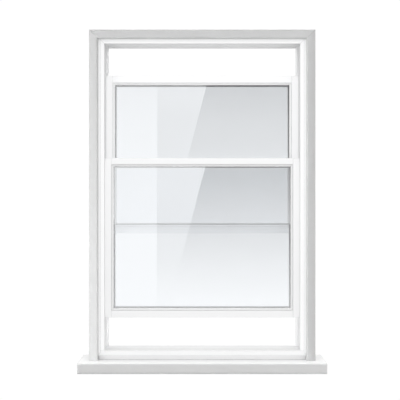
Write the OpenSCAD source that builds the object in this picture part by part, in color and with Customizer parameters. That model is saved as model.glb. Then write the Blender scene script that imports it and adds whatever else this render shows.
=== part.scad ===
// Double-hung timber sash window: a moulded frame on a sill board, with two
// double-glazed sashes that slide on spiral spring balances.
//
// X runs along the width, -Y faces the room and +Z is up. The origin lies on
// the sill board's underside, on the middle line, below the frame's room face.
// The lower sash runs in the room-side track and the upper sash behind it.

/* [Opening] */
// Width between the two jamb faces
opening_w = 816; // [640:4:1200]
// Height from the frame sill's top to the head's underside
opening_h = 1245; // [1050:5:1600]

/* [Frame] */
// Thickness of the jambs and of the head
jamb_t = 32; // [28:1:44]
// Height of the frame sill
sill_h = 38; // [32:1:60]
// Projection of the frame sill past the jambs on the weather side
sill_nose = 43; // [34:1:70]
// Depth of the shadow gap under the frame sill's room-side edge
shadow_gap = 12; // [4:1:20]
// Depth of the housings that hold the jambs' ends
housing = 10; // [6:1:14]
// Diameter of the fixing holes through the jambs
fixing_d = 8; // [5:0.5:9]

/* [Sill board] */
// Thickness of the sill board
board_t = 44; // [28:1:60]
// Projection of the board in front of the frame
board_nose = 70; // [40:1:120]
// Projection of the board past each side casing
board_end = 39; // [5:1:80]

/* [Casing] */
// Width of the casing's face
casing_w = 36.5; // [30:0.5:60]
// Thickness of the casing at its inner edge
casing_t = 18; // [14:0.5:24]
// Thickness of the casing at its outer edge
casing_edge_t = 11; // [8:0.5:14]
// Bulge of the casing's face
casing_bulge = 1; // [0:0.25:2]
// Strip of jamb left showing beside the casing
side_reveal = 7.5; // [2:0.5:12]
// Strip of head left showing under the casing
head_reveal = 1.5; // [1:0.5:12]

/* [Beads] */
// Projection of the staff and parting beads from the jamb face
bead_p = 16; // [13:0.5:20]
// Depth of the staff beads and of the outer stops
staff_d = 14; // [10:0.5:20]
// Thickness of the parting beads
parting_t = 8; // [6:0.5:9]
// Extra projection of the side outer stops
stop_extra = 6; // [0:0.5:12]

/* [Sashes] */
// Thickness of a sash
sash_t = 44; // [43:1:56]
// Width of a stile from its outer edge to the glazing rebate
stile_w = 40; // [38:1:70]
// Height of the outer rails up to the glazing rebate
outer_rail_h = 28; // [26:1:60]
// Height of the meeting rails up to the glazing rebate
meeting_rail_h = 25; // [22:1:40]
// Play between a sash edge and the jamb face
side_play = 3; // [2:0.5:4]
// Play between a sash face and a bead
face_play = 2; // [1.5:0.1:3]
// How far the lower sash stands open
lower_open = 129; // [0:1:250]
// How far the upper sash stands open
upper_open = 133; // [0:1:250]

/* [Glazing] */
// Thickness of one pane
pane_t = 4; // [3:0.5:6]
// Width of the gap between the panes
cavity = 12; // [6:0.5:14]
// Depth of the glazing beads
glazing_d = 10; // [8:0.5:10]
// Face width of the glazing beads
glazing_w = 7.5; // [6.5:0.5:10]
// Width of the glazing rebate's back lip
lip_w = 13; // [12:0.5:16]

/* [Balances] */
// Outer diameter of a balance tube
tube_d = 12; // [10:0.5:13]
// Wall of a balance tube
tube_wall = 0.8; // [0.6:0.1:1]
// Length of a balance tube
tube_len = 600; // [520:5:620]
// Width of the twisted rod
rod_w = 6; // [5:0.1:6.2]
// Thickness of the twisted rod
rod_t = 1.6; // [1.2:0.1:2]
// Height over which the rod makes one turn
rod_pitch = 120; // [100:5:160]

/* [Hidden] */
$fn = 48;

WHITE = "#f5f5f3";
GREY = "#d5d5d8";
STEEL = "#b9bcc0";
NYLON = "#e9e7e0";
BLACK = "#2b2b2d";
GLASS = "#bfd4d2";

// Heights of the frame
sill_top = board_t + sill_h;
head_z = sill_top + opening_h;
frame_top = head_z + jamb_t;

// Half widths across the frame
jamb_x = opening_w / 2;
frame_x = jamb_x + jamb_t;
casing_x = jamb_x + side_reveal + casing_w;

// Places along the depth, from the room side
sash_gap = parting_t + 2 * face_play;
lower_y = staff_d + face_play;
parting_y = lower_y + sash_t + face_play;
upper_y = lower_y + sash_t + sash_gap;
stop_y = upper_y + sash_t + face_play;
frame_d = stop_y + staff_d;
board_back = frame_d + 8;

// Sashes: each closes against its own end and laps the other by a meeting rail
sill_play = 2;
head_play = 3;
meeting_shoulder = 3;
meeting_h = meeting_rail_h + lip_w + meeting_shoulder;
sash_h = (opening_h - sill_play - head_play + meeting_h) / 2;
sash_x = jamb_x - side_play;
lower_z = sill_top + sill_play + lower_open;
upper_z = head_z - head_play - upper_open - sash_h;
tape_t = 1;
rebate_d = glazing_d + 2 * tape_t + 2 * pane_t + cavity;
glass_play = 3;
arris = 1.5;

// Stub tenons that join the rails to the stiles
tenon_len = 22;
tenon_t = 14;
tenon_inset = 6;

// Balances: tube on the track's middle line, half inside the stile's groove
groove_w = 16;
groove_d = 14;
tube_x = sash_x - 4.5;
tube_bore = tube_d - 2 * tube_wall;
cap_h = 12;
cap_top = head_z - 9;
tube_top = cap_top - cap_h;
tube_end = tube_top - tube_len;
plug_len = 10;
fit = 0.1;
bush_gap = 0.3;
bush_flange = 4;
bush_spigot = 10;
bush_web = 2;
slot_play = 0.5;
foot_h = 12;
rod_margin = 5;
lower_travel = 430;
upper_closed_z = head_z - head_play - sash_h;
rod_reach = tube_top - plug_len - rod_margin - foot_h;
lower_rod_len = rod_reach - lower_z - lower_travel;
upper_rod_len = rod_reach - upper_closed_z;
slices_per_turn = 24;

// Screws
frame_screw_d = 5;
frame_screw_len = 62;
frame_screw_head = 10;
cap_screw_d = 3.5;
cap_screw_len = 32;
cap_screw_head = 7;

SIDES = [-1, 1];

// ---------------------------------------------------------------- helpers

// Points of an arc, from angle a0 to angle a1
function arc(cx, cy, r, a0, a1, n = 6) =
    [for (i = [0:n]) let (a = a0 + (a1 - a0) * i / n) [cx + r * cos(a), cy + r * sin(a)]];

// Extrudes a (y, z) outline along X
module along_x(x0, x1) {
    translate([x0, 0, 0])
        rotate([90, 0, 90])
            linear_extrude(x1 - x0)
                children();
}

// Extrudes an (x, y) outline along Z
module along_z(z0, z1) {
    translate([0, 0, z0])
        linear_extrude(z1 - z0)
            children();
}

// Extrudes an (x, z) outline along Y
module along_y(y0, y1) {
    translate([0, y1, 0])
        rotate([90, 0, 0])
            linear_extrude(y1 - y0)
                children();
}

// A block between two corners
module block(low, high) {
    translate(low)
        cube(high - low);
}

// One bar of a mitred rectangular border. The border's outer half width is hx
// and it stands between z0 and z1. The outline holds (inward, y) points and is
// w wide. A footed border has side bars that run square to z0.
module mitred_bar(side, hx, z0, z1, w, outline, footed = false) {
    deep = 400;
    foot = footed ? 0 : w;
    if (side == "right") {
        mirror([1, 0, 0])
            mitred_bar("left", hx, z0, z1, w, outline, footed);
    }
    if (side == "left") {
        intersection() {
            along_z(z0, z1)
                polygon([for (p = outline) [p[0] - hx, p[1]]]);
            along_y(-deep, deep)
                polygon([[-hx, z0], [w - hx, z0 + foot], [w - hx, z1 - w], [-hx, z1]]);
        }
    }
    if (side == "bottom") {
        intersection() {
            along_x(-hx, hx)
                polygon([for (p = outline) [p[1], z0 + p[0]]]);
            along_y(-deep, deep)
                polygon([[-hx, z0], [w - hx, z0 + w], [hx - w, z0 + w], [hx, z0]]);
        }
    }
    if (side == "top") {
        intersection() {
            along_x(-hx, hx)
                polygon([for (p = outline) [p[1], z1 - p[0]]]);
            along_y(-deep, deep)
                polygon([[-hx, z1], [w - hx, z1 - w], [hx - w, z1 - w], [hx, z1]]);
        }
    }
}

// A plain rectangular ring in a sash, between two insets from its edges
module sash_ring(s, outer, inner, y0, y1) {
    along_y(y0, y1)
        difference() {
            sash_window(s, outer);
            sash_window(s, inner);
        }
}

// The opening of a sash, reduced to an inset measured beyond the rebate's floor
module sash_window(s, inset) {
    hx = sash_x - stile_w - inset;
    z0 = low_rail(s) + inset;
    z1 = sash_h - high_rail(s) - inset;
    translate([-hx, z0])
        square([2 * hx, z1 - z0]);
}

// Countersunk screw along +Z, with its head's face at z = 0 and its tip below
module screw(d, len, head) {
    sink = (head - d) / 2;
    translate([0, 0, -len])
        cylinder(d = d, h = len);
    translate([0, 0, -sink])
        cylinder(d1 = d, d2 = head, h = sink);
}

// ------------------------------------------------------------ sill board

module sill_board() {
    under_r = 8;
    edge_r = 6;
    hx = casing_x + board_end;
    color(GREY)
        along_x(-hx, hx)
            polygon(concat(
                arc(under_r - board_nose, under_r, under_r, 270, 180),
                arc(edge_r - board_nose, board_t - edge_r, edge_r, 180, 90),
                [[board_back, board_t], [board_back, 0]]));
}

// ----------------------------------------------------------------- frame

// Screws at the frame's corners, two to a joint
module frame_screw_set() {
    x = jamb_x + jamb_t / 2;
    for (side = SIDES, y = [lower_y + 6, upper_y + 6]) {
        translate([side * x, y, frame_top])
            screw(frame_screw_d, frame_screw_len, frame_screw_head);
        translate([side * x, y, board_t])
            mirror([0, 0, 1])
                screw(frame_screw_d, frame_screw_len, frame_screw_head);
    }
}

module frame_sill() {
    face_h = 20;
    flat_end = frame_d + 5;
    back = frame_d + sill_nose;
    nose_h = 20;
    drip_w = 6;
    drip_d = 5;
    drip_y = back - 17;
    face_z = sill_top - face_h;
    color(WHITE)
        difference() {
            along_x(-frame_x, frame_x)
                polygon(concat(
                    [[shadow_gap, board_t], [drip_y, board_t], [drip_y, board_t + drip_d],
                     [drip_y + drip_w, board_t + drip_d], [drip_y + drip_w, board_t],
                     [back, board_t], [back, board_t + nose_h], [flat_end, sill_top]],
                    arc(arris, sill_top - arris, arris, 90, 180, 3),
                    [[0, face_z], [shadow_gap, face_z]]));
            for (side = SIDES)
                mirror([side < 0 ? 1 : 0, 0, 0])
                    block([jamb_x, -1, sill_top - housing], [frame_x + 1, frame_d, sill_top + 1]);
            frame_screw_set();
        }
}

module frame_head() {
    color(WHITE)
        difference() {
            block([-frame_x, 0, head_z], [frame_x, frame_d, frame_top]);
            for (side = SIDES)
                mirror([side < 0 ? 1 : 0, 0, 0])
                    block([jamb_x, -1, head_z - 1], [frame_x + 1, frame_d + 1, head_z + housing]);
            frame_screw_set();
        }
}

// Fixing holes stand in the stretches of track that the open sashes leave free
room_hole_y = lower_y + 8;
weather_hole_y = stop_y - 10;
low_hole_z = 200;
low_hole_pitch = 280;
high_hole_z = 950;
high_hole_pitch = 300;

module fixing_holes() {
    for (k = [0, 1]) {
        translate([jamb_x - 1, weather_hole_y, low_hole_z + k * low_hole_pitch])
            rotate([0, 90, 0])
                cylinder(d = fixing_d, h = jamb_t + 2);
        translate([jamb_x - 1, room_hole_y, high_hole_z + k * high_hole_pitch])
            rotate([0, 90, 0])
                cylinder(d = fixing_d, h = jamb_t + 2);
    }
}

module jamb() {
    difference() {
        block([jamb_x, 0, sill_top - housing], [frame_x, frame_d, head_z + housing]);
        fixing_holes();
        frame_screw_set();
        cap_screw_set();
    }
}

module jamb_left() {
    color(WHITE)
        mirror([1, 0, 0])
            jamb();
}

module jamb_right() {
    color(WHITE)
        jamb();
}

module frame_screws() {
    color(STEEL)
        frame_screw_set();
}

// ---------------------------------------------------------------- casing

module casing(side) {
    outer_r = 3;
    inner_r = 6;
    face_w = casing_w - outer_r - inner_r;
    rise = casing_t - casing_edge_t;
    steps = 6;
    outline = concat(
        [[0, 0]],
        arc(outer_r, outer_r - casing_edge_t, outer_r, 180, 270),
        [for (i = [1:steps - 1]) let (t = i / steps)
            [outer_r + t * face_w, -casing_edge_t - t * rise - casing_bulge * 4 * t * (1 - t)]],
        arc(casing_w - inner_r, inner_r - casing_t, inner_r, 270, 360),
        [[casing_w, 0]]);
    color(GREY)
        mitred_bar(side, casing_x, board_t, head_z + head_reveal + casing_w, casing_w,
            outline, footed = true);
}

module casing_head() casing("top");
module casing_left() casing("left");
module casing_right() casing("right");

// ----------------------------------------------------------------- beads

module staff_bead(side) {
    edge_r = 3;
    outline = concat(
        [[0, 0]],
        arc(bead_p - edge_r, edge_r, edge_r, 270, 360),
        [[bead_p, staff_d], [0, staff_d]]);
    color(WHITE)
        mitred_bar(side, jamb_x, sill_top, head_z, bead_p, outline, footed = true);
}

module staff_bead_head() staff_bead("top");
module staff_bead_left() staff_bead("left");
module staff_bead_right() staff_bead("right");

module parting_bead(side) {
    outline = [[0, parting_y], [bead_p, parting_y],
        [bead_p, parting_y + parting_t], [0, parting_y + parting_t]];
    color(WHITE)
        mitred_bar(side, jamb_x, sill_top, head_z, bead_p, outline, footed = true);
}

module parting_bead_head() parting_bead("top");
module parting_bead_left() parting_bead("left");
module parting_bead_right() parting_bead("right");

// The head stop lies between the side stops
module outer_stop_side() {
    block([jamb_x - bead_p - stop_extra, stop_y, sill_top], [jamb_x, frame_d, head_z]);
}

module outer_stop_head() {
    hx = jamb_x - bead_p - stop_extra;
    color(WHITE)
        block([-hx, stop_y, head_z - bead_p], [hx, frame_d, head_z]);
}

module outer_stop_left() {
    color(WHITE)
        mirror([1, 0, 0])
            outer_stop_side();
}

module outer_stop_right() {
    color(WHITE)
        outer_stop_side();
}

// Pile strips beside, under and over the sashes
module weather_seals() {
    free = 0.3;
    strip_w = 5;
    pile = face_play - free;
    x0 = sash_x - 2 - strip_w;
    x1 = sash_x - 2;
    room_mid = lower_y + sash_t / 2;
    weather_mid = upper_y + sash_t / 2;
    color(NYLON) {
        for (side = SIDES)
            mirror([side < 0 ? 1 : 0, 0, 0]) {
                for (y = [staff_d, parting_y - pile, parting_y + parting_t, stop_y - pile])
                    block([x0, y, sill_top], [x1, y + pile, head_z]);
            }
        block([-sash_x, room_mid - strip_w / 2, sill_top],
            [sash_x, room_mid + strip_w / 2, sill_top + sill_play - free]);
        block([-sash_x, weather_mid - strip_w / 2, head_z - head_play + free],
            [sash_x, weather_mid + strip_w / 2, head_z]);
    }
}

// -------------------------------------------------------------- balances

// Puts a balance part in both tracks on both sides
module in_all_tracks() {
    for (side = SIDES, y = [lower_y, upper_y])
        translate([0, y + sash_t / 2, 0])
            mirror([side < 0 ? 1 : 0, 0, 0])
                translate([tube_x, 0, 0])
                    children();
}

module balance_tubes() {
    color(STEEL)
        in_all_tracks()
            translate([0, 0, tube_end])
                difference() {
                    cylinder(d = tube_d, h = tube_len);
                    translate([0, 0, -1])
                        cylinder(d = tube_bore, h = tube_len + 2);
                }
}

// The cap's screw runs through its block into the jamb
module cap_screw() {
    translate([-tube_d / 2, 0, tube_top + cap_h / 2])
        rotate([0, -90, 0])
            screw(cap_screw_d, cap_screw_len, cap_screw_head);
}

module cap_screw_set() {
    in_all_tracks()
        cap_screw();
}

module balance_caps() {
    color(NYLON)
        in_all_tracks()
            difference() {
                union() {
                    block([-tube_d / 2, -tube_d / 2, tube_top],
                        [jamb_x - tube_x, tube_d / 2, cap_top]);
                    translate([0, 0, tube_top - plug_len])
                        cylinder(d = tube_bore, h = plug_len + 1);
                }
                cap_screw();
            }
}

module balance_screws() {
    color(STEEL)
        cap_screw_set();
}

// Close-wound torsion springs between the caps and the bushes
module balance_springs() {
    wire = 1;
    low = tube_end + bush_spigot + 1;
    color(STEEL)
        in_all_tracks()
            translate([0, 0, low])
                difference() {
                    cylinder(d = tube_bore - 2 * fit, h = tube_top - plug_len - low);
                    translate([0, 0, -1])
                        cylinder(d = tube_bore - 2 * fit - 2 * wire, h = tube_len);
                }
}

// Angle of the twisted rod where it crosses the bush's slotted web
function rod_angle(sash_low) = (tube_end - bush_gap - bush_flange - sash_low - foot_h
    + bush_web / 2) * 360 / rod_pitch;

// The bush turns in the tube's end as the rod slides through its slot
module bush(side, y, sash_low) {
    bore_d = rod_w + 1.4;
    low = tube_end - bush_gap - bush_flange;
    color(NYLON)
        translate([side * tube_x, y + sash_t / 2, low])
            difference() {
                union() {
                    cylinder(d = tube_d, h = bush_flange);
                    cylinder(d = tube_bore - 2 * fit, h = bush_flange + bush_gap + bush_spigot);
                }
                translate([0, 0, bush_web])
                    cylinder(d = bore_d, h = bush_flange + bush_spigot);
                rotate([0, 0, rod_angle(sash_low)])
                    translate([-rod_w / 2 - slot_play, -rod_t / 2 - slot_play, -1])
                        cube([rod_w + 2 * slot_play, rod_t + 2 * slot_play, bush_web + 2]);
            }
}

module bush_lower_left() bush(-1, lower_y, lower_z);
module bush_lower_right() bush(1, lower_y, lower_z);
module bush_upper_left() bush(-1, upper_y, upper_z);
module bush_upper_right() bush(1, upper_y, upper_z);

// ---------------------------------------------------------------- sashes

// Rail heights of a sash below and above its glass
function low_rail(s) = s == "lower" ? outer_rail_h : meeting_rail_h;
function high_rail(s) = s == "lower" ? meeting_rail_h : outer_rail_h;

// Puts a sash part in its track, where the sash stands open
module at(s) {
    translate([0, s == "lower" ? lower_y : upper_y, s == "lower" ? lower_z : upper_z])
        children();
}

// Tenons at both ends of a rail of height h
module tenons(h) {
    mid = groove_w / 2 + (sash_t - groove_w) / 2;
    for (side = SIDES)
        mirror([side < 0 ? 1 : 0, 0, 0])
            block([sash_x - stile_w - 1, mid - tenon_t / 2, tenon_inset],
                [sash_x - stile_w + tenon_len, mid + tenon_t / 2, h - tenon_inset]);
}

// The four tenons of a sash, at their places
module tenon_set(s) {
    tenons(low_rail(s));
    translate([0, 0, sash_h])
        mirror([0, 0, 1])
            tenons(high_rail(s));
}

// A stile is rebated for the glass and grooved for the balance
module stile(s) {
    x_in = sash_x - stile_w;
    groove_y = (sash_t - groove_w) / 2;
    difference() {
        along_z(0, sash_h)
            polygon(concat(
                arc(x_in + arris, arris, arris, 180, 270, 3),
                arc(sash_x - arris, arris, arris, 270, 360, 3),
                [[sash_x, groove_y], [sash_x - groove_d, groove_y],
                 [sash_x - groove_d, groove_y + groove_w], [sash_x, groove_y + groove_w],
                 [sash_x, sash_t], [x_in - lip_w, sash_t], [x_in - lip_w, rebate_d],
                 [x_in, rebate_d]]));
        tenon_set(s);
    }
}

module stile_left(s) {
    color(WHITE)
        at(s)
            mirror([1, 0, 0])
                stile(s);
}

module stile_right(s) {
    color(WHITE)
        at(s)
            stile(s);
}

// A rail of height h, with its outer edge at z = 0 and its rebate above
module rail(h) {
    hx = sash_x - stile_w;
    along_x(-hx, hx)
        polygon(concat(
            arc(arris, arris, arris, 270, 180, 3),
            arc(arris, h - arris, arris, 180, 90, 3),
            [[rebate_d, h], [rebate_d, 0]]));
    block([lip_w - hx, rebate_d - 1, 0], [hx - lip_w, sash_t, h + lip_w]);
    tenons(h);
}

// Rebate above a rail, as far as the back lip
module rail_rebate(h) {
    hx = sash_x - stile_w;
    block([-hx, -1, h], [hx, rebate_d, h + lip_w + 1]);
}

// Interlocking lips close the gap between the meeting rails. Both are splayed,
// and the lower sash's lip always stands above the upper sash's lip.
lip_reach = sash_gap - face_play;
lip_x = jamb_x - bead_p - 2;
splay_low = 26;
splay_high = 14;
splay_gap = 0.5;

module outer_rail(s) {
    difference() {
        rail(outer_rail_h);
        rail_rebate(outer_rail_h);
    }
}

module lower_bottom_rail() {
    color(WHITE)
        at("lower")
            outer_rail("lower");
}

module upper_top_rail() {
    color(WHITE)
        at("upper")
            translate([0, 0, sash_h])
                mirror([0, 0, 1])
                    outer_rail("upper");
}

// Drop of the splay below the rails' common top at a place in the gap
function splay(y) = splay_low + (splay_high - splay_low) * y / sash_gap;

module meeting_rail() {
    difference() {
        rail(meeting_rail_h);
        rail_rebate(meeting_rail_h);
    }
}

module lower_meeting_rail() {
    color(WHITE)
        at("lower") {
            translate([0, 0, sash_h])
                mirror([0, 0, 1])
                    meeting_rail();
            along_x(-lip_x, lip_x)
                polygon([[sash_t, sash_h], [sash_t + lip_reach, sash_h],
                    [sash_t + lip_reach, sash_h - splay(lip_reach) + splay_gap],
                    [sash_t, sash_h - splay(0) + splay_gap]]);
        }
}

module upper_meeting_rail() {
    near = sash_gap - lip_reach;
    color(WHITE)
        at("upper") {
            meeting_rail();
            along_x(-lip_x, lip_x)
                polygon([[0, 0], [-lip_reach, 0],
                    [-lip_reach, meeting_h - splay(near) - splay_gap],
                    [0, meeting_h - splay(sash_gap) - splay_gap]]);
        }
}

// --------------------------------------------------------------- glazing

// The outer pane lies on tape against the back lip
outer_pane_y = rebate_d - tape_t - pane_t;
inner_pane_y = glazing_d + tape_t;
spacer_y = inner_pane_y + pane_t;
seal_w = 5;
spacer_w = 5.5;

module pane(s, y) {
    color(GLASS, 0.5)
        at(s)
            along_y(y, y + pane_t)
                sash_window(s, glass_play);
}

module edge_seal(s) {
    color(BLACK)
        at(s)
            sash_ring(s, glass_play, glass_play + seal_w, spacer_y, spacer_y + cavity);
}

module spacer(s) {
    inset = glass_play + seal_w;
    color(STEEL)
        at(s)
            sash_ring(s, inset, inset + spacer_w, spacer_y, spacer_y + cavity);
}

module tapes(s) {
    color(BLACK)
        at(s)
            for (y = [glazing_d, rebate_d - tape_t])
                sash_ring(s, glass_play, glazing_w - 1, y, y + tape_t);
}

module setting_blocks(s) {
    block_len = 60;
    quarter = (sash_x - stile_w) / 2;
    color(BLACK)
        at(s)
            for (x = [-quarter, quarter])
                block([x - block_len / 2, inner_pane_y, low_rail(s)],
                    [x + block_len / 2, rebate_d - tape_t, low_rail(s) + glass_play]);
}

// Glazing bead with a quirk beside the timber and a chamfer toward the glass
module glazing_bead(s, side) {
    quirk_w = 1.6;
    quirk_y = 4;
    set_back = 1;
    flat_w = 2.4;
    edge = 3;
    outline = [[0, quirk_y], [quirk_w, quirk_y], [quirk_w, set_back], [flat_w, set_back],
        [glazing_w, glazing_d - edge], [glazing_w, glazing_d], [0, glazing_d]];
    color(WHITE)
        at(s)
            mitred_bar(side, sash_x - stile_w, low_rail(s), sash_h - high_rail(s), glazing_w,
                outline);
}

// ----------------------------------------------- balance parts on a sash

// Nylon feet fill the grooves' lower ends and carry the twisted rods
module balance_feet(s) {
    groove_y = (sash_t - groove_w) / 2;
    color(NYLON)
        at(s)
            for (side = SIDES)
                mirror([side < 0 ? 1 : 0, 0, 0])
                    block([sash_x - groove_d, groove_y, 0], [sash_x, groove_y + groove_w, foot_h]);
}

module spiral_rods(s) {
    len = s == "lower" ? lower_rod_len : upper_rod_len;
    turns = len / rod_pitch;
    color(STEEL)
        at(s)
            for (side = SIDES)
                translate([side * tube_x, sash_t / 2, foot_h])
                    linear_extrude(len, twist = -360 * turns, slices = round(turns * slices_per_turn),
                        segments = 6)
                        square([rod_w, rod_t], center = true);
}

// ----------------------------------------------------- sash parts by name

module lower_stile_left() stile_left("lower");
module lower_stile_right() stile_right("lower");
module lower_glass_inner() pane("lower", inner_pane_y);
module lower_glass_outer() pane("lower", outer_pane_y);
module lower_spacer() spacer("lower");
module lower_edge_seal() edge_seal("lower");
module lower_tapes() tapes("lower");
module lower_setting_blocks() setting_blocks("lower");
module lower_bead_top() glazing_bead("lower", "top");
module lower_bead_bottom() glazing_bead("lower", "bottom");
module lower_bead_left() glazing_bead("lower", "left");
module lower_bead_right() glazing_bead("lower", "right");
module lower_spiral_rods() spiral_rods("lower");
module lower_balance_feet() balance_feet("lower");

module upper_stile_left() stile_left("upper");
module upper_stile_right() stile_right("upper");
module upper_glass_inner() pane("upper", inner_pane_y);
module upper_glass_outer() pane("upper", outer_pane_y);
module upper_spacer() spacer("upper");
module upper_edge_seal() edge_seal("upper");
module upper_tapes() tapes("upper");
module upper_setting_blocks() setting_blocks("upper");
module upper_bead_top() glazing_bead("upper", "top");
module upper_bead_bottom() glazing_bead("upper", "bottom");
module upper_bead_left() glazing_bead("upper", "left");
module upper_bead_right() glazing_bead("upper", "right");
module upper_spiral_rods() spiral_rods("upper");
module upper_balance_feet() balance_feet("upper");

// ------------------------------------------------------------------ nodes

sill_board();
frame_sill();
frame_head();
jamb_left();
jamb_right();
casing_head();
casing_left();
casing_right();
staff_bead_head();
staff_bead_left();
staff_bead_right();
parting_bead_head();
parting_bead_left();
parting_bead_right();
outer_stop_head();
outer_stop_left();
outer_stop_right();
weather_seals();
frame_screws();
balance_tubes();
balance_caps();
balance_screws();
balance_springs();
bush_lower_left();
bush_lower_right();
bush_upper_left();
bush_upper_right();
lower_stile_left();
lower_stile_right();
lower_meeting_rail();
lower_bottom_rail();
lower_glass_inner();
lower_glass_outer();
lower_spacer();
lower_edge_seal();
lower_tapes();
lower_setting_blocks();
lower_bead_top();
lower_bead_bottom();
lower_bead_left();
lower_bead_right();
lower_spiral_rods();
lower_balance_feet();
upper_stile_left();
upper_stile_right();
upper_meeting_rail();
upper_top_rail();
upper_glass_inner();
upper_glass_outer();
upper_spacer();
upper_edge_seal();
upper_tapes();
upper_setting_blocks();
upper_bead_top();
upper_bead_bottom();
upper_bead_left();
upper_bead_right();
upper_spiral_rods();
upper_balance_feet();
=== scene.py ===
"""A double-hung timber sash window in its frame, on a sill board.

Both sashes stand part open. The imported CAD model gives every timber, pane and balance its
shape and place; this script paints and glazes it, adds the sealant, pile and screw threads
that are too fine for the CAD, and sets it on a white studio floor.
"""
import math

import bpy
import numpy as np
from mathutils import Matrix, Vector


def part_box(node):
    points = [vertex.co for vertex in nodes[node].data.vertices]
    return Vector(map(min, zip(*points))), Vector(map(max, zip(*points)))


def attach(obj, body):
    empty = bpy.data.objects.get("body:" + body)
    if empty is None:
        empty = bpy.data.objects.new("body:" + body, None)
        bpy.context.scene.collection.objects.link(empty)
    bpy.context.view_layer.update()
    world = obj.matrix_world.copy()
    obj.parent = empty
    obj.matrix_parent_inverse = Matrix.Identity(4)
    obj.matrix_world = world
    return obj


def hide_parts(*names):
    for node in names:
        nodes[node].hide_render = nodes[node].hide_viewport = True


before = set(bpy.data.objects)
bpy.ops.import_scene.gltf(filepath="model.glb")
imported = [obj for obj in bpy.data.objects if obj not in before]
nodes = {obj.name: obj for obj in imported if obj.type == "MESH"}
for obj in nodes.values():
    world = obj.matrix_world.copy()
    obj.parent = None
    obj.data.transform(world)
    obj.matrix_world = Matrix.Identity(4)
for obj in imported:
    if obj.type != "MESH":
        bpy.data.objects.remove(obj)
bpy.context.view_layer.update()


# ------------------------------------------------------------------ sill board
# A thick softwood board, planed and spray-painted pale grey. The frame stands
# on it, and its nose runs out past the casings on the room side.

def group_socket(group, name, way, kind, value=None):
    """Adds one named socket to a node group and gives it a starting value."""
    socket = group.interface.new_socket(name=name, in_out=way, socket_type=kind)
    if value is not None:
        socket.default_value = value
    return socket


def paint_film_group():
    """Coat of paint over planed wood: long faint strokes along the grain, and fine orange peel.

    Strokes are noise squeezed by the mapping that comes in; the peel is small even noise.
    Tone mixes slow noise with the strokes, and Height adds strokes and peel.
    """
    stroke_share = 0.3
    g = bpy.data.node_groups.new("paint_film", "ShaderNodeTree")
    group_socket(g, "Along Grain", "INPUT", "NodeSocketVector")
    group_socket(g, "Plain", "INPUT", "NodeSocketVector")
    group_socket(g, "Stroke Depth", "INPUT", "NodeSocketFloat", 0.5)
    group_socket(g, "Peel Depth", "INPUT", "NodeSocketFloat", 0.5)
    group_socket(g, "Tone", "OUTPUT", "NodeSocketFloat")
    group_socket(g, "Height", "OUTPUT", "NodeSocketFloat")
    n, links = g.nodes, g.links
    put, out = n.new("NodeGroupInput"), n.new("NodeGroupOutput")
    strokes, peel, slow = (n.new("ShaderNodeTexNoise") for _ in range(3))
    strokes.inputs["Scale"].default_value = 300.0
    strokes.inputs["Detail"].default_value = 3.0
    peel.inputs["Scale"].default_value = 900.0
    peel.inputs["Detail"].default_value = 1.0
    slow.inputs["Scale"].default_value = 4.0
    slow.inputs["Detail"].default_value = 2.0
    links.new(put.outputs["Along Grain"], strokes.inputs["Vector"])
    links.new(put.outputs["Plain"], peel.inputs["Vector"])
    links.new(put.outputs["Plain"], slow.inputs["Vector"])
    deep, fine, high, tone = (n.new("ShaderNodeMath") for _ in range(4))
    deep.operation = fine.operation = "MULTIPLY"
    links.new(strokes.outputs["Fac"], deep.inputs[0])
    links.new(put.outputs["Stroke Depth"], deep.inputs[1])
    links.new(peel.outputs["Fac"], fine.inputs[0])
    links.new(put.outputs["Peel Depth"], fine.inputs[1])
    high.operation = "ADD"
    links.new(deep.outputs[0], high.inputs[0])
    links.new(fine.outputs[0], high.inputs[1])
    tone.operation = "MULTIPLY_ADD"
    tone.inputs[1].default_value = stroke_share
    links.new(strokes.outputs["Fac"], tone.inputs[0])
    links.new(slow.outputs["Fac"], tone.inputs[2])
    links.new(tone.outputs[0], out.inputs["Tone"])
    links.new(high.outputs[0], out.inputs["Height"])
    return g


PAINT_FILM = paint_film_group()


def edge_wear_and_crease_shade_group():
    """Darkening along edges, 1 where the surface's own direction leaves that of its surroundings.

    On outer edges it stands for thin, worn paint; in inner corners and creases it is painted
    shade. The rounded direction is averaged over a small reach, and its dot product with the
    true one falls from 1 near an edge.
    """
    g = bpy.data.node_groups.new("edge_wear_and_crease_shade", "ShaderNodeTree")
    group_socket(g, "Reach", "INPUT", "NodeSocketFloat", 0.0025)
    group_socket(g, "Wear And Shade", "OUTPUT", "NodeSocketFloat")
    n, links = g.nodes, g.links
    put, out = n.new("NodeGroupInput"), n.new("NodeGroupOutput")
    rounded, flat = n.new("ShaderNodeBevel"), n.new("ShaderNodeNewGeometry")
    rounded.samples = 6
    agree, wear = n.new("ShaderNodeVectorMath"), n.new("ShaderNodeMapRange")
    agree.operation = "DOT_PRODUCT"
    links.new(put.outputs["Reach"], rounded.inputs["Radius"])
    links.new(rounded.outputs["Normal"], agree.inputs[0])
    links.new(flat.outputs["Normal"], agree.inputs[1])
    wear.inputs["From Min"].default_value = 0.995
    wear.inputs["From Max"].default_value = 0.8
    links.new(agree.outputs["Value"], wear.inputs["Value"])
    links.new(wear.outputs["Result"], out.inputs["Wear And Shade"])
    return g


EDGE_WEAR_AND_CREASE_SHADE = edge_wear_and_crease_shade_group()


def new_material(name):
    """An empty node material with its Principled shader, as (material, shader)."""
    material = bpy.data.materials.new(name)
    material.use_nodes = True
    shader = material.node_tree.nodes["Principled BSDF"]
    return material, shader


def tone_mix(tree, fac, dark, light):
    """Colour between dark and light by a factor socket, as an output socket."""
    mix = tree.nodes.new("ShaderNodeMix")
    mix.data_type = "RGBA"
    mix.inputs["A"].default_value = (*dark, 1.0)
    mix.inputs["B"].default_value = (*light, 1.0)
    tree.links.new(fac, mix.inputs["Factor"])
    return mix.outputs["Result"]


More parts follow.
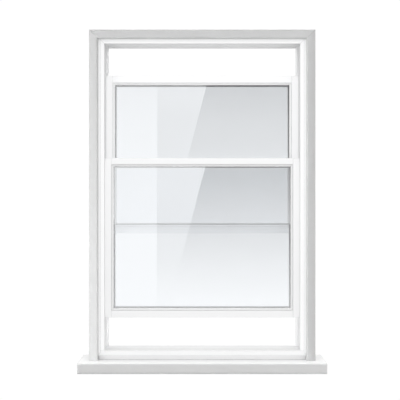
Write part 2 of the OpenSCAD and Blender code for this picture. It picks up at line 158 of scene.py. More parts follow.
def between(tree, value, low, high):
    """A noise value, which runs from 0.3 to 1, spread over low..high, as an output socket."""
    spread = tree.nodes.new("ShaderNodeMapRange")
    spread.inputs["From Min"].default_value = 0.3
    spread.inputs["From Max"].default_value = 1.0
    spread.inputs["To Min"].default_value = low
    spread.inputs["To Max"].default_value = high
    tree.links.new(value, spread.inputs["Value"])
    return spread.outputs["Result"]


def bumped(tree, height, metres, strength):
    """Normal of a surface raised by a height socket, as an output socket."""
    bump = tree.nodes.new("ShaderNodeBump")
    bump.inputs["Distance"].default_value = metres
    bump.inputs["Strength"].default_value = strength
    tree.links.new(height, bump.inputs["Height"])
    return bump.outputs["Normal"]


def object_texture(tree, kind, scale):
    """A texture laid over the piece's own coordinates, as its node."""
    place = tree.nodes.new("ShaderNodeTexCoord")
    texture = tree.nodes.new(kind)
    texture.inputs["Scale"].default_value = scale
    tree.links.new(place.outputs["Object"], texture.inputs["Vector"])
    return texture


def dimmed(colour, share):
    """A colour brought down to a share of its brightness."""
    return tuple(c * share for c in colour)


def painted_timber(name, colour, grain):
    """Satin paint on planed softwood whose grain runs along one axis."""
    grain_squeeze = 0.02
    streak, worn_or_shaded = dimmed(colour, 0.975), dimmed(colour, 0.6)
    smooth, rough = 0.40, 0.48
    film_depth = 0.0002
    material, shader = new_material(name)
    tree = material.node_tree
    place = tree.nodes.new("ShaderNodeTexCoord")
    along = tree.nodes.new("ShaderNodeMapping")
    along.inputs["Scale"].default_value = [grain_squeeze if axis == grain else 1.0
                                           for axis in "XYZ"]
    film = tree.nodes.new("ShaderNodeGroup")
    film.node_tree = PAINT_FILM
    film.inputs["Stroke Depth"].default_value = 0.6
    film.inputs["Peel Depth"].default_value = 0.4
    tree.links.new(place.outputs["Object"], along.inputs["Vector"])
    tree.links.new(along.outputs["Vector"], film.inputs["Along Grain"])
    tree.links.new(place.outputs["Object"], film.inputs["Plain"])
    tone = between(tree, film.outputs["Tone"], 0.0, 1.0)
    # Edges go towards the dimmed paint colour: worn paint on outer edges, painted shade in inner
    # corners and creases
    arris = tree.nodes.new("ShaderNodeGroup")
    arris.node_tree = EDGE_WEAR_AND_CREASE_SHADE
    thin = tree.nodes.new("ShaderNodeMix")
    thin.data_type = "RGBA"
    thin.inputs["B"].default_value = (*worn_or_shaded, 1.0)
    tree.links.new(arris.outputs["Wear And Shade"], thin.inputs["Factor"])
    tree.links.new(tone_mix(tree, tone, streak, colour), thin.inputs["A"])
    tree.links.new(thin.outputs["Result"], shader.inputs["Base Color"])
    tree.links.new(between(tree, film.outputs["Tone"], rough, smooth), shader.inputs["Roughness"])
    tree.links.new(bumped(tree, film.outputs["Height"], film_depth, 0.35), shader.inputs["Normal"])
    shader.inputs["Specular IOR Level"].default_value = 0.35
    return material


def finish_nodes(names, material):
    """Gives whole CAD nodes one material, in every slot they have."""
    for name in names:
        mesh = nodes[name].data
        mesh.materials.clear()
        mesh.materials.append(material)


BOARD_GREY = (0.60, 0.602, 0.602)
finish_nodes(["sill_board"], painted_timber("grey_paint_board", BOARD_GREY, "X"))


# ----------------------------------------------------------------------- frame
# Softwood sill, head and jambs, housed and screwed together and painted white.
# The sill is weathered on the outside and has a drip groove under its nose.

WHITE = (0.925, 0.927, 0.93)
white_along_x = painted_timber("white_paint_rails", WHITE, "X")
white_along_z = painted_timber("white_paint_stiles", WHITE, "Z")
finish_nodes(["frame_sill", "frame_head"], white_along_x)
finish_nodes(["jamb_left", "jamb_right"], white_along_z)


def skin(name, points, faces, material, body, slot, *replaced):
    """A smooth mesh piece from arrays of points (n, 3) and quads (m, 4), riding on a body."""
    mesh = bpy.data.meshes.new(name)
    mesh.from_pydata(points.tolist(), [], faces.tolist())
    mesh.polygons.foreach_set("use_smooth", np.full(len(mesh.polygons), True))
    mesh.materials.append(material)
    mesh.validate()
    mesh.update()
    piece = bpy.data.objects.new(name, mesh)
    bpy.context.scene.collection.objects.link(piece)
    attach(piece, body)
    if replaced:
        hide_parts(*replaced)


def tube_faces(rows, columns):
    """Quads of a tube of points, row by row, with an even number of points to a row.

    Each row closes on itself. Each end is closed by a fan of quads from its row's last point.
    """
    start = np.arange(rows - 1)[:, None] * columns
    j = np.arange(columns)[None, :]
    after = (j + 1) % columns
    side = np.stack([start + j, start + after, start + columns + after, start + columns + j], -1)
    k = np.arange(0, columns - 2, 2)
    fan = np.stack([np.full_like(k, columns - 1), k, k + 1, k + 2], -1)
    return np.concatenate([side.reshape(-1, 4), fan[:, ::-1], fan + (rows - 1) * columns])


def outward(points, faces):
    """The quads of a closed shell, turned round where they point inwards.

    The shell's volume is a sixth of the sum of triple products over both triangles of each
    quad, and is above zero where the faces point outwards.
    """
    a, b, c, d = np.moveaxis((points - points.mean(axis=0))[faces], 1, 0)
    six_volumes = np.sum(a * (np.cross(b, c) + np.cross(c, d)))
    return faces if six_volumes > 0 else faces[:, ::-1]


def joined(shells):
    """One array of points and one of outward faces from several closed (points, faces)."""
    offsets = np.cumsum([0] + [len(points) for points, _ in shells[:-1]])
    all_points = np.concatenate([points for points, _ in shells])
    all_faces = np.concatenate([outward(*shell) + o for shell, o in zip(shells, offsets)])
    return all_points, all_faces


def screw_surface(length, shank_r, head_r, sink, pitch, around):
    """A countersunk cross-recessed screw along -Z, with its head's face at z = 0.

    Down each of many rows the radius is: a flat head with a four-pointed recess sunk by the
    cosine of four times the angle, a cone, and a shank whose thread is a sawtooth of height
    and angle. Both ends close on a ring of nearly no radius.
    """
    recess_hub, recess_arm, recess_depth = 0.25 * head_r, 0.45 * head_r, 0.9 * sink
    thread_root, thread_rise = 0.78 * shank_r, 0.2 * shank_r
    rows_a_turn, point_length, blunt = 5, 4 * shank_r, 0.02
    angle = np.linspace(0, 2 * math.pi, around, endpoint=False)[None, :]
    face_r = np.linspace(0.0005, 1.0, 12)[:, None] * head_r
    arms = np.clip(np.cos(4 * angle) * 0.5 + 0.5, 0, 1) ** 2
    recess = -recess_depth * np.clip(1 - face_r / (recess_hub + recess_arm * arms), 0, 1) ** 0.5
    cone_z = np.linspace(0, -sink, 4)[1:, None]
    cone_r = head_r + (shank_r - head_r) * (-cone_z / sink)
    down = np.linspace(-sink, -length, int(length / pitch * rows_a_turn))[1:, None]
    phase = np.mod(-down / pitch - angle / (2 * math.pi), 1.0)
    tip = np.clip((length + down) / point_length, blunt, 1)
    thread = (thread_root + thread_rise * np.abs(2 * phase - 1)) * tip
    rings = np.concatenate([
        np.stack(np.broadcast_arrays(r * np.cos(angle), r * np.sin(angle), z), -1)
        for r, z in ((face_r, recess), (cone_r, cone_z), (thread, down))])
    return rings.reshape(-1, 3), tube_faces(len(rings), around)


def turned(points, x_axis, y_axis, z_axis, at):
    """Points carried to a place, with their axes laid along three directions."""
    return points @ np.array([x_axis, y_axis, z_axis], float) + np.array(at, float)


def zinc_steel(name, colour, roughness):
    """Bright zinc plate: cloudy patches in colour and roughness."""
    material, shader = new_material(name)
    tree = material.node_tree
    cloud = object_texture(tree, "ShaderNodeTexNoise", 180.0)
    cloud.inputs["Detail"].default_value = 4.0
    tree.links.new(tone_mix(tree, cloud.outputs["Fac"], dimmed(colour, 0.8), colour),
                   shader.inputs["Base Color"])
    tree.links.new(between(tree, cloud.outputs["Fac"], roughness, roughness + 0.2),
                   shader.inputs["Roughness"])
    shader.inputs["Metallic"].default_value = 1.0
    return material


zinc = zinc_steel("zinc_plate", (0.62, 0.63, 0.65), 0.3)
head_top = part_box("frame_head")[1].z
sill_low, sill_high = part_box("frame_sill")
screws_low, screws_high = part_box("frame_screws")
screw_head_r = 0.005
screw_points, screw_faces = screw_surface(
    length=0.062, shank_r=0.0025, head_r=screw_head_r, sink=0.0025, pitch=0.0025, around=40)
screw_x = screws_high.x - screw_head_r
screws = []
for x in (-screw_x, screw_x):
    for y in (screws_low.y + screw_head_r, screws_high.y - screw_head_r):
        downward = turned(screw_points, (1, 0, 0), (0, 1, 0), (0, 0, 1), (x, y, head_top))
        upward = turned(screw_points, (1, 0, 0), (0, -1, 0), (0, 0, -1), (x, y, sill_low.z))
        screws += [(downward, screw_faces), (upward, screw_faces)]
skin("frame_screw_set", *joined(screws), zinc, "frame", "steel", "frame_screws")


# --------------------------------------------------------------------- casings
# Moulded trim in the board's grey, mitred at the head, nailed over the joint
# between frame and wall. A thin bead of painted sealant closes its inner edge.

CASING_GREY = (0.47, 0.472, 0.472)
finish_nodes(["casing_head"], painted_timber("grey_paint_head_casing", CASING_GREY, "X"))
finish_nodes(["casing_left", "casing_right"],
             painted_timber("grey_paint_side_casing", CASING_GREY, "Z"))


def fillet_run(start, end, toward_a, toward_b, size):
    """A concave sealant bead from start to end, in the corner between directions a and b.

    Across it, the surface is a quarter circle hollowed from the square of the given size,
    then two flat faces back to the corner. Along it, the size wavers a little, as a finger
    leaves it.
    """
    arc_points, row_length = 7, 0.02
    waver_share, slow_waver, fast_waver = 0.06, 23.0, 61.0
    start, end = np.array(start, float), np.array(end, float)
    a, b = np.array(toward_a, float), np.array(toward_b, float)
    t = np.linspace(0, math.pi / 2, arc_points)
    across = np.stack([1 - np.sin(t), 1 - np.cos(t)], -1)
    across = np.concatenate([across, [[0.0, 0.0]]])
    length = np.linalg.norm(end - start)
    rows = max(2, int(length / row_length))
    s = np.linspace(0, 1, rows)[:, None]
    swell = np.sin(s * length * fast_waver) * np.sin(s * length * slow_waver + 1.0)
    width = size * (1 + waver_share * swell)
    base = start + (end - start) * s
    section = across[None, :, :1] * a + across[None, :, 1:] * b
    ring = base[:, None, :] + width[:, :, None] * section
    return ring.reshape(-1, 3), tube_faces(rows, arc_points + 1)


def soft_sealant(name, colour):
    """Smooth acrylic sealant, painted over."""
    material, shader = new_material(name)
    tree = material.node_tree
    lumps = object_texture(tree, "ShaderNodeTexNoise", 60.0)
    tree.links.new(tone_mix(tree, lumps.outputs["Fac"], dimmed(colour, 0.96), colour),
                   shader.inputs["Base Color"])
    tree.links.new(bumped(tree, lumps.outputs["Fac"], 0.0004, 0.3), shader.inputs["Normal"])
    shader.inputs["Roughness"].default_value = 0.5
    return material


white_sealant = soft_sealant("white_sealant", (0.9, 0.9, 0.9))
inner_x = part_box("casing_right")[0].x
casing_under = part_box("casing_head")[0].z
sealant_drop = 0.02
sealant_foot = sill_high.z - sealant_drop
room_side = (0, -1, 0)
casing_line = 0.002
skin("casing_sealant", *joined([
    fillet_run((-inner_x, 0, sealant_foot), (-inner_x, 0, casing_under), (1, 0, 0), room_side,
               casing_line),
    fillet_run((inner_x, 0, sealant_foot), (inner_x, 0, casing_under), (-1, 0, 0), room_side,
               casing_line),
    fillet_run((-inner_x, 0, casing_under), (inner_x, 0, casing_under), (0, 0, -1), room_side,
               casing_line),
]), white_sealant, "frame", "white_paint")


# ----------------------------------------------------------------------- beads
# Staff beads, parting beads and outer stops make the two tracks. Woven pile
# strips are pressed against them and brush the sashes' faces.

finish_nodes(["staff_bead_head", "parting_bead_head", "outer_stop_head"], white_along_x)
finish_nodes(["staff_bead_left", "staff_bead_right", "parting_bead_left", "parting_bead_right",
              "outer_stop_left", "outer_stop_right"], white_along_z)


def pile_strip(low, high, along, toward):
    """A pile strip inside a box: a flat woven back and a brushed face on the toward side.

    The face's height is a fast ripple along the strip times a slow one across it, so that it
    stands in small tufts, and it falls to the back at both long edges.
    """
    row_pitch, tuft_share, edge_lift = 0.0025, 0.14, 0.25
    along_wave, across_wave, skew = 2.1, 19.0, 0.7
    low, high = np.array(low, float), np.array(high, float)
    up = int(np.argmax(np.abs(toward)))
    side = 3 - along - up
    rows = int((high[along] - low[along]) / row_pitch)
    s = np.linspace(0, 1, rows)[:, None]
    u = np.array([0.0, 0.06, 0.15, 0.28, 0.42, 0.58, 0.72, 0.85, 0.94, 1.0])[None, :]
    dome = np.clip(np.sin(math.pi * u), 0, 1) ** 0.25
    ripple = np.sin(s * rows * along_wave) * np.cos(u * across_wave + s * rows * skew)
    lift = edge_lift + (1 - edge_lift) * dome * (1 - tuft_share + tuft_share * ripple)
    lift[:, [0, -1]] = 0.0
    points = np.zeros((rows, u.size, 3))
    points[..., along] = low[along] + (high[along] - low[along]) * s
    points[..., side] = low[side] + (high[side] - low[side]) * u
    thick = high[up] - low[up]
    points[..., up] = low[up] + lift * thick if toward[up] > 0 else high[up] - lift * thick
    return points.reshape(-1, 3), tube_faces(rows, u.size)


def woven_pile(name, colour):
    """Off-white polypropylene pile: fine tufts in colour and height, with a soft sheen."""
    material, shader = new_material(name)
    tree = material.node_tree
    tufts = object_texture(tree, "ShaderNodeTexVoronoi", 900.0)
    tree.links.new(tone_mix(tree, tufts.outputs["Distance"], colour, dimmed(colour, 0.75)),
                   shader.inputs["Base Color"])
    tree.links.new(bumped(tree, tufts.outputs["Distance"], 0.0005, 0.6), shader.inputs["Normal"])
    shader.inputs["Roughness"].default_value = 0.9
    shader.inputs["Sheen Weight"].default_value = 0.3
    return material


staff_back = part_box("staff_bead_right")[1].y
parting_low, parting_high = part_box("parting_bead_right")
stop_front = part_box("outer_stop_right")[0].y
seal_low, seal_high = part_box("weather_seals")
strip_w = 0.005
strip_inset = 0.007
strip_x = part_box("lower_stile_right")[1].x - strip_inset
pile_t, head_pile_t = 0.0017, 0.0027
strips = []
for side in (-1, 1):
    x0, x1 = sorted((side * strip_x, side * (strip_x + strip_w)))
    for y0, way in ((staff_back, 1), (parting_low.y - pile_t, -1), (parting_high.y, 1),
                    (stop_front - pile_t, -1)):
        strips.append(pile_strip((x0, y0, seal_low.z), (x1, y0 + pile_t, seal_high.z),
                                 2, (0, way, 0)))
for rail, z0, z1, way in (("lower_bottom_rail", sill_high.z, sill_high.z + pile_t, 1),
                          ("upper_top_rail", seal_high.z - head_pile_t, seal_high.z, -1)):
    rail_middle = sum(corner.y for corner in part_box(rail)) / 2
    strips.append(pile_strip((seal_low.x, rail_middle - strip_w / 2, z0),
                             (seal_high.x, rail_middle + strip_w / 2, z1), 0, (0, 0, way)))
skin("pile_strips", *joined(strips), woven_pile("woven_pile", (0.86, 0.86, 0.85)),
     "frame", "pile_seal", "weather_seals")


# -------------------------------------------------------------------- balances
# Each sash hangs on two spiral balances. A steel tube is screwed to the jamb at
# its top, and a wound spring turns a nylon bush that grips the twisted rod.

def moulded_nylon(name, colour):
    """Natural nylon: slightly cloudy, waxy and finely pitted."""
    material, shader = new_material(name)
    tree = material.node_tree
    cloud = object_texture(tree, "ShaderNodeTexNoise", 400.0)
    tree.links.new(tone_mix(tree, cloud.outputs["Fac"], dimmed(colour, 0.92), colour),
                   shader.inputs["Base Color"])
    tree.links.new(bumped(tree, cloud.outputs["Fac"], 0.0001, 0.3), shader.inputs["Normal"])
    shader.inputs["Roughness"].default_value = 0.45
    shader.inputs["Subsurface Weight"].default_value = 0.1
    return material


finish_nodes(["balance_caps", "bush_lower_left", "bush_lower_right", "bush_upper_left",
              "bush_upper_right", "lower_balance_feet", "upper_balance_feet"],
             moulded_nylon("natural_nylon", (0.84, 0.83, 0.80)))
finish_nodes(["balance_tubes"], zinc_steel("drawn_tube", (0.72, 0.73, 0.74), 0.28))
finish_nodes(["lower_spiral_rods", "upper_spiral_rods"],
             zinc_steel("twisted_strip", (0.5, 0.51, 0.53), 0.22))


def wound_spring(name):
    """Close-wound oiled spring steel: each turn is a ridge down the sleeve, with painted shade
    darkening the grooves between turns.
    """
    material, shader = new_material(name)
    tree = material.node_tree
    turns = object_texture(tree, "ShaderNodeTexWave", 160.0)
    turns.bands_direction = "Z"
    # The dark end of the bands is painted shade in the grooves between turns, the light end the
    # ridges
    tree.links.new(tone_mix(tree, turns.outputs["Fac"], (0.10, 0.10, 0.10), (0.34, 0.33, 0.32)),
                   shader.inputs["Base Color"])
    tree.links.new(bumped(tree, turns.outputs["Fac"], 0.0004, 0.8), shader.inputs["Normal"])
    shader.inputs["Metallic"].default_value = 1.0
    shader.inputs["Roughness"].default_value = 0.35
    return material


finish_nodes(["balance_springs"], wound_spring("wound_spring"))

# Each screw's head faces the opening, in line with the inner side of its tube
heads_low, heads_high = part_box("balance_screws")
cap_head_r = 0.0035
cap_points, cap_faces = screw_surface(
    length=0.032, shank_r=0.00175, head_r=cap_head_r, sink=0.00175, pitch=0.0016, around=32)
tube_d = 0.012
cap_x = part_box("balance_tubes")[1].x - tube_d
cap_z = (heads_low.z + heads_high.z) / 2
cap_screws = []
for side in (-1, 1):
    for y in (heads_low.y + cap_head_r, heads_high.y - cap_head_r):
        driven = turned(cap_points, (0, side, 0), (0, 0, 1), (-side, 0, 0),
                        (side * cap_x, y, cap_z))
        cap_screws.append((driven, cap_faces))
skin("cap_screw_set", *joined(cap_screws), zinc, "frame", "steel", "balance_screws")


# --------------------------------------------------------------------- glazing
# Each sash holds a sealed unit: two panes on a dark spacer bar, bedded on tape
# against the back lip and held by mitred beads, with a fine line of sealant.

def tinted_glass(name, metal_coat):
    """Float glass, bare or with a thin metal coat. Scattered light meets it as a plain tint."""
    tint = (0.80, 0.812, 0.825)
    shade = (0.965, 0.967, 0.97)
    material, shader = new_material(name)
    tree = material.node_tree
    haze = object_texture(tree, "ShaderNodeTexNoise", 3.0)
    tree.links.new(tone_mix(tree, haze.outputs["Fac"], dimmed(tint, 0.985), tint),
                   shader.inputs["Base Color"])
    shader.inputs["Roughness"].default_value = 0.0
    shader.inputs["IOR"].default_value = 1.5
    shader.inputs["Transmission Weight"].default_value = 1.0
    shader.inputs["Metallic"].default_value = metal_coat
    clear = tree.nodes.new("ShaderNodeBsdfTransparent")
    clear.inputs["Color"].default_value = (*shade, 1.0)
    path = tree.nodes.new("ShaderNodeLightPath")
    either = tree.nodes.new("ShaderNodeMath")
    either.operation = "MAXIMUM"
    tree.links.new(path.outputs["Is Shadow Ray"], either.inputs[0])
    tree.links.new(path.outputs["Is Diffuse Ray"], either.inputs[1])
    mix = tree.nodes.new("ShaderNodeMixShader")
    tree.links.new(either.outputs[0], mix.inputs["Fac"])
    tree.links.new(shader.outputs[0], mix.inputs[1])
    tree.links.new(clear.outputs[0], mix.inputs[2])
    tree.links.new(mix.outputs[0], tree.nodes["Material Output"].inputs["Surface"])
    return material


def dark_spacer(name):
    """Dark grey spacer bar with a row of breather holes along its sight line, each a slight dent
    with a darker spot of painted shade.
    """
    material, shader = new_material(name)
    tree = material.node_tree
    holes = object_texture(tree, "ShaderNodeTexVoronoi", 400.0)
    holes.inputs["Randomness"].default_value = 0.0
    # The hole colour is painted shade: each breather hole is a darker spot on the bar, not an
    # opening
    hole_shade, bar = (0.05, 0.05, 0.055), (0.10, 0.10, 0.105)
    tree.links.new(tone_mix(tree, holes.outputs["Distance"], hole_shade, bar),
                   shader.inputs["Base Color"])
    tree.links.new(bumped(tree, holes.outputs["Distance"], 0.0003, 0.4), shader.inputs["Normal"])
    shader.inputs["Roughness"].default_value = 0.55
    return material


def black_rubber(name):
    """Black butyl and foam tape, matt and slightly mottled."""
    material, shader = new_material(name)
    tree = material.node_tree
    mottle = object_texture(tree, "ShaderNodeTexNoise", 250.0)
    tree.links.new(tone_mix(tree, mottle.outputs["Fac"], (0.02, 0.02, 0.02), (0.05, 0.05, 0.05)),
                   shader.inputs["Base Color"])
    tree.links.new(bumped(tree, mottle.outputs["Fac"], 0.0003, 0.4), shader.inputs["Normal"])
    shader.inputs["Roughness"].default_value = 0.8
    return material


coated_glass = tinted_glass("coated_glass", 0.12)
clear_glass = tinted_glass("clear_glass", 0.0)
spacer_bar = dark_spacer("dark_spacer_bar")
rubber = black_rubber("black_rubber")


def sealant_ring(y, low, high, out, size):
    """Four sealant runs round a sight opening, in the corner between bead or lip and pane face."""
    (x0, z0), (x1, z1) = low, high
    away = (0, out, 0)
    return joined([
        fillet_run((x0, y, z0), (x1, y, z0), (0, 0, 1), away, size),
        fillet_run((x0, y, z1), (x1, y, z1), (0, 0, -1), away, size),
        fillet_run((x0, y, z0), (x0, y, z1), (1, 0, 0), away, size),
        fillet_run((x1, y, z0), (x1, y, z1), (-1, 0, 0), away, size)])


glazing_line = 0.0016
panes = []
for sash, outer_rail in (("lower", "_bottom_rail"), ("upper", "_top_rail")):
    body = sash + "_sash"
    finish_nodes([sash + part for part in ("_meeting_rail", outer_rail, "_bead_top",
                                           "_bead_bottom")], white_along_x)
    finish_nodes([sash + part for part in ("_stile_left", "_stile_right", "_bead_left",
                                           "_bead_right")], white_along_z)
    finish_nodes([sash + "_glass_inner"], coated_glass)
    finish_nodes([sash + "_glass_outer"], clear_glass)
    finish_nodes([sash + "_spacer"], spacer_bar)
    finish_nodes([sash + "_edge_seal", sash + "_tapes", sash + "_setting_blocks"], rubber)
    panes += [nodes[sash + "_glass_inner"], nodes[sash + "_glass_outer"]]
    bead_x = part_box(sash + "_bead_right")[0].x
    bead_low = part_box(sash + "_bead_bottom")[1].z
    bead_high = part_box(sash + "_bead_top")[0].z
    room_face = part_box(sash + "_glass_inner")[0].y
    skin(sash + "_room_sealant", *sealant_ring(
        room_face, (-bead_x, bead_low), (bead_x, bead_high), -1, glazing_line),
        white_sealant, body, "white_paint")
    lip_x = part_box(sash + "_stile_right")[0].x
    lip = bead_x - lip_x
    weather_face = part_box(sash + "_glass_outer")[1].y
    skin(sash + "_weather_sealant", *sealant_ring(
        weather_face, (-lip_x, bead_low + lip), (lip_x, bead_high - lip), 1, glazing_line),
        white_sealant, body, "white_paint")


# ---------------------------------------------------------------------- studio
# A white floor that runs to a white surround, soft lamps that each light their
# own pieces, and a tall card behind the camera that only the glass mirrors.

def stage_mesh(name, corners, material):
    """A flat stage quad from its four corners."""
    mesh = bpy.data.meshes.new(name)
    mesh.from_pydata(corners, [], [(0, 1, 2, 3)])
    mesh.materials.append(material)
    card = bpy.data.objects.new(name, mesh)
    bpy.context.scene.collection.objects.link(card)
    return card


def seen_straight(tree):
    """1 for rays that come from the camera or through glass, as an output socket."""
    path = tree.nodes.new("ShaderNodeLightPath")
    either = tree.nodes.new("ShaderNodeMath")
    either.operation = "MAXIMUM"
    tree.links.new(path.outputs["Is Camera Ray"], either.inputs[0])
    tree.links.new(path.outputs["Is Transmission Ray"], either.inputs[1])
    return either.outputs[0]


FLOOR_GLOW = 1.02
FLOOR_LIGHT = 0.70
floor_paint = new_material("white_floor")[0]
floor_tree = floor_paint.node_tree
floor_glow = floor_tree.nodes.new("ShaderNodeEmission")
floor_mix = floor_tree.nodes.new("ShaderNodeMix")
floor_mix.inputs["A"].default_value = FLOOR_LIGHT
floor_mix.inputs["B"].default_value = FLOOR_GLOW
floor_tree.links.new(seen_straight(floor_tree), floor_mix.inputs["Factor"])
floor_tree.links.new(floor_mix.outputs["Result"], floor_glow.inputs["Strength"])
floor_tree.links.new(floor_glow.outputs[0], floor_tree.nodes["Material Output"].inputs["Surface"])
reach = 12.0
floor = stage_mesh("floor", [(-reach, -reach, 0), (reach, -reach, 0), (reach, reach, 0),
                             (-reach, reach, 0)], floor_paint)
floor.visible_glossy = False

# The surround is brighter at the left and overhead
world = bpy.data.worlds.new("white_surround")
bpy.context.scene.world = world
world.use_nodes = True
wt = world.node_tree
way = wt.nodes.new("ShaderNodeTexCoord")
split = wt.nodes.new("ShaderNodeSeparateXYZ")
wt.links.new(way.outputs["Generated"], split.inputs[0])
WORLD_BASE = 0.94
WORLD_LEFT = 0.06
WORLD_UP = 0.15
leftward = wt.nodes.new("ShaderNodeMath")
leftward.operation = "MULTIPLY_ADD"
leftward.inputs[1].default_value = -WORLD_LEFT
leftward.inputs[2].default_value = WORLD_BASE
wt.links.new(split.outputs["X"], leftward.inputs[0])
overhead = wt.nodes.new("ShaderNodeMath")
overhead.operation = "MAXIMUM"
overhead.inputs[1].default_value = 0.0
wt.links.new(split.outputs["Z"], overhead.inputs[0])
lit = wt.nodes.new("ShaderNodeMath")
lit.operation = "MULTIPLY_ADD"
lit.inputs[1].default_value = WORLD_UP
wt.links.new(overhead.outputs[0], lit.inputs[0])
wt.links.new(leftward.outputs[0], lit.inputs[2])
seen = wt.nodes.new("ShaderNodeMix")
seen.inputs["B"].default_value = FLOOR_GLOW
wt.links.new(seen_straight(wt), seen.inputs["Factor"])
wt.links.new(lit.outputs[0], seen.inputs["A"])
wt.nodes["Background"].inputs["Color"].default_value = (1.0, 1.0, 1.0, 1.0)
wt.links.new(seen.outputs["Result"], wt.nodes["Background"].inputs["Strength"])


def studio_lamp(name, kind, energy, spread, place, turn, lit_pieces):
    """A soft lamp whose beam runs along its own -Z and lights only the given pieces.

    Its spread is a sun's angle in degrees, or an oblong lamp's width and height in metres.
    """
    data = bpy.data.lights.new(name, kind)
    data.energy = energy
    if kind == "SUN":
        data.angle = math.radians(spread)
    else:
        data.shape = "RECTANGLE"
        data.size, data.size_y = spread
    lamp = bpy.data.objects.new(name, data)
    lamp.location = place
    lamp.rotation_euler = [math.radians(a) for a in turn]
    lamp.visible_glossy = False
    bpy.context.scene.collection.objects.link(lamp)
    lit = bpy.data.collections.new(name + "_lit")
    for piece in lit_pieces:
        lit.objects.link(piece)
    lamp.light_linking.receiver_collection = lit


def cad_pieces(*prefixes):
    """The CAD nodes whose names start with one of the prefixes, without the glass."""
    return [nodes[name] for name in nodes if name.startswith(prefixes) and "glass" not in name]


# The casings take a grazing light from the left and a low one from the front,
# and all that edges the opening takes a second low one
studio_lamp("side_lamp", "SUN", 1.5, 8, (-2, 0, 1), (90, 0, -80), cad_pieces("casing_"))
studio_lamp("low_lamp", "AREA", 8.0, (0.6, 0.1), (-0.6, -1.2, 0.05), (90, 0, 0),
            cad_pieces("casing_"))
studio_lamp("low_fill", "AREA", 3.0, (0.8, 0.1), (0, -1.5, 0.05), (90, 0, 0),
            cad_pieces("staff_", "jamb_", "outer_", "parting_", "casing_"))

# One front fill is for all but the glass, and one for the timbers that stand
# back in the frame. Each outer stop takes a glancing light, and the board one
# from overhead.
opaque = [piece for piece in bpy.data.objects
          if piece.type == "MESH" and piece not in (*panes, floor)]
studio_lamp("front_fill", "SUN", 0.70, 12, (0, -3, 1), (90, 0, 0), opaque)
studio_lamp("deep_fill", "SUN", 0.36, 12, (0, -3, 1.2), (90, 0, 0),
            cad_pieces("upper_", "outer_", "parting_"))
for hand, turn in (("left", 50), ("right", -50)):
    studio_lamp(hand + "_reveal_lamp", "SUN", 0.45, 12, (0, -3, 1), (90, 0, turn),
                [nodes["outer_stop_" + hand]])
studio_lamp("top_lamp", "SUN", 2.3, 20, (0, -0.3, 3), (8, 0, 0), [nodes["sill_board"]])

# Camera at eye level before the window, square on to it
EYE = (-0.0088, -3.8, 0.685)
lens = bpy.data.cameras.new("camera")
lens.sensor_width = 36.0
lens.lens = 85.5
camera = bpy.data.objects.new("camera", lens)
camera.location = EYE
camera.rotation_euler = (math.radians(90), 0, 0)
bpy.context.scene.collection.objects.link(camera)
bpy.context.scene.camera = camera
bpy.context.scene.view_settings.view_transform = "Standard"

# The card stands this far behind the camera. Its pattern is laid out at the
# size of the window, enlarged on the card, and mirrored back to that size.
CARD_BACK = 2.2
glass_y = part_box("lower_glass_inner")[0].y
to_eye = glass_y - EYE[1]
enlarged = (2 * to_eye + CARD_BACK) / to_eye
half_w, card_low, card_high = 1.5, -1.2, 2.6
card_y = EYE[1] - CARD_BACK

# Light up the card as (height in metres, strength): right of the slanting edge,
# left of it, and left of the upright edge
RIGHT = [(0.25, 3.1), (0.302, 2.95), (0.443, 2.24), (0.544, 1.68), (0.588, 1.65), (0.591, 3.05),
         (0.645, 2.75), (0.786, 1.97), (0.814, 1.92), (0.862, 1.8), (0.886, 1.6), (1.007, 1.32),
         (1.108, 0.88), (1.15, 0.75)]
MIDDLE = [(0.25, 3.0), (0.302, 2.92), (0.443, 2.4), (0.544, 2.25), (0.588, 2.2), (0.591, 3.67),
          (0.82, 3.72), (0.845, 2.17), (1.007, 2.04), (1.108, 2.17), (1.15, 2.17)]
LEFT = [(0.25, 3.15), (0.302, 3.1), (0.443, 3.0), (0.588, 3.0), (0.591, 4.33), (0.82, 4.2),
        (0.845, 2.92), (1.007, 2.73), (1.108, 2.56), (1.15, 2.5)]
SLANT, SLANT_START = 0.262, -0.2837
LOWER_SHIFT, SASHES_MEET = 0.0817, 0.838
UPRIGHT_EDGE = -0.183


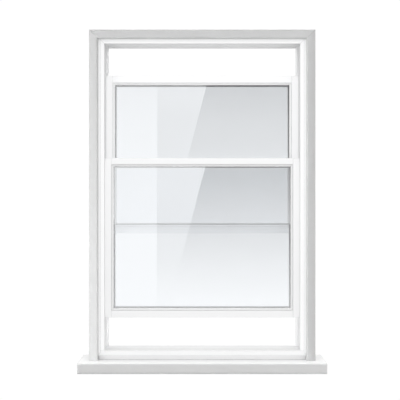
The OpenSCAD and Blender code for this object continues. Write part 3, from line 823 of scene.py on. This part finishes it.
def card_pattern():
    """Light on the card, from dim at the top to bright at the bottom, in window metres.

    Three ramps up the card give the light right of a slanting edge, left of it, and left of
    an upright edge. The slanting edge is x = slant * z + start, shifted for the lower sash.
    """
    brightest, low_z, high_z = 5.0, 0.2, 1.2
    material = new_material("mirror_card")[0]
    tree = material.node_tree
    place = tree.nodes.new("ShaderNodeTexCoord")
    shrink = tree.nodes.new("ShaderNodeMapping")
    shrink.inputs["Scale"].default_value = (1 / enlarged,) * 3
    shrink.inputs["Location"].default_value = [e * (1 - 1 / enlarged) for e in EYE]
    cut = tree.nodes.new("ShaderNodeSeparateXYZ")
    tree.links.new(place.outputs["Object"], shrink.inputs["Vector"])
    tree.links.new(shrink.outputs["Vector"], cut.inputs[0])
    x, z = cut.outputs["X"], cut.outputs["Z"]

    def math_node(kind, a, b, c=None):
        """One maths node with sockets or numbers as its inputs."""
        node = tree.nodes.new("ShaderNodeMath")
        node.operation = kind
        for i, value in enumerate((a, b, c)):
            if value is None:
                continue
            if isinstance(value, (int, float)):
                node.inputs[i].default_value = value
            else:
                tree.links.new(value, node.inputs[i])
        return node.outputs[0]

    height = math_node("DIVIDE", math_node("SUBTRACT", z, low_z), high_z - low_z)

    def ramp(stops):
        """Strength by height, from (height in metres, strength) stops."""
        node = tree.nodes.new("ShaderNodeValToRGB")
        colours = node.color_ramp
        while len(colours.elements) < len(stops):
            colours.elements.new(0.5)
        for element, (at, strength) in zip(colours.elements, stops):
            element.position = (at - low_z) / (high_z - low_z)
            element.color = (strength / brightest,) * 3 + (1.0,)
        tree.links.new(height, node.inputs["Fac"])
        return math_node("MULTIPLY", node.outputs["Color"], brightest)

    lower_sash = math_node("LESS_THAN", z, SASHES_MEET)
    edge = math_node("MULTIPLY_ADD", z, SLANT, SLANT_START)
    edge = math_node("MULTIPLY_ADD", lower_sash, LOWER_SHIFT, edge)
    past_slant = math_node("GREATER_THAN", math_node("SUBTRACT", edge, x), 0.0)
    past_upright = math_node("LESS_THAN", x, UPRIGHT_EDGE)

    def choose(fac, a, b):
        """a where fac is 0 and b where it is 1."""
        node = tree.nodes.new("ShaderNodeMix")
        tree.links.new(fac, node.inputs["Factor"])
        tree.links.new(a, node.inputs["A"])
        tree.links.new(b, node.inputs["B"])
        return node.outputs["Result"]

    strength = choose(past_upright, choose(past_slant, ramp(RIGHT), ramp(MIDDLE)), ramp(LEFT))
    glow = tree.nodes.new("ShaderNodeEmission")
    tree.links.new(strength, glow.inputs["Strength"])
    tree.links.new(glow.outputs[0], tree.nodes["Material Output"].inputs["Surface"])
    return material


card = stage_mesh("mirror_card", [(-half_w, card_y, card_low), (-half_w, card_y, card_high),
                                  (half_w, card_y, card_high), (half_w, card_y, card_low)],
                  card_pattern())
card.visible_camera = False
card.visible_diffuse = False
card.visible_transmission = False
card.visible_shadow = False
glazed = bpy.data.collections.new("glazed")
for pane in panes:
    glazed.objects.link(pane)
card.light_linking.receiver_collection = glazed
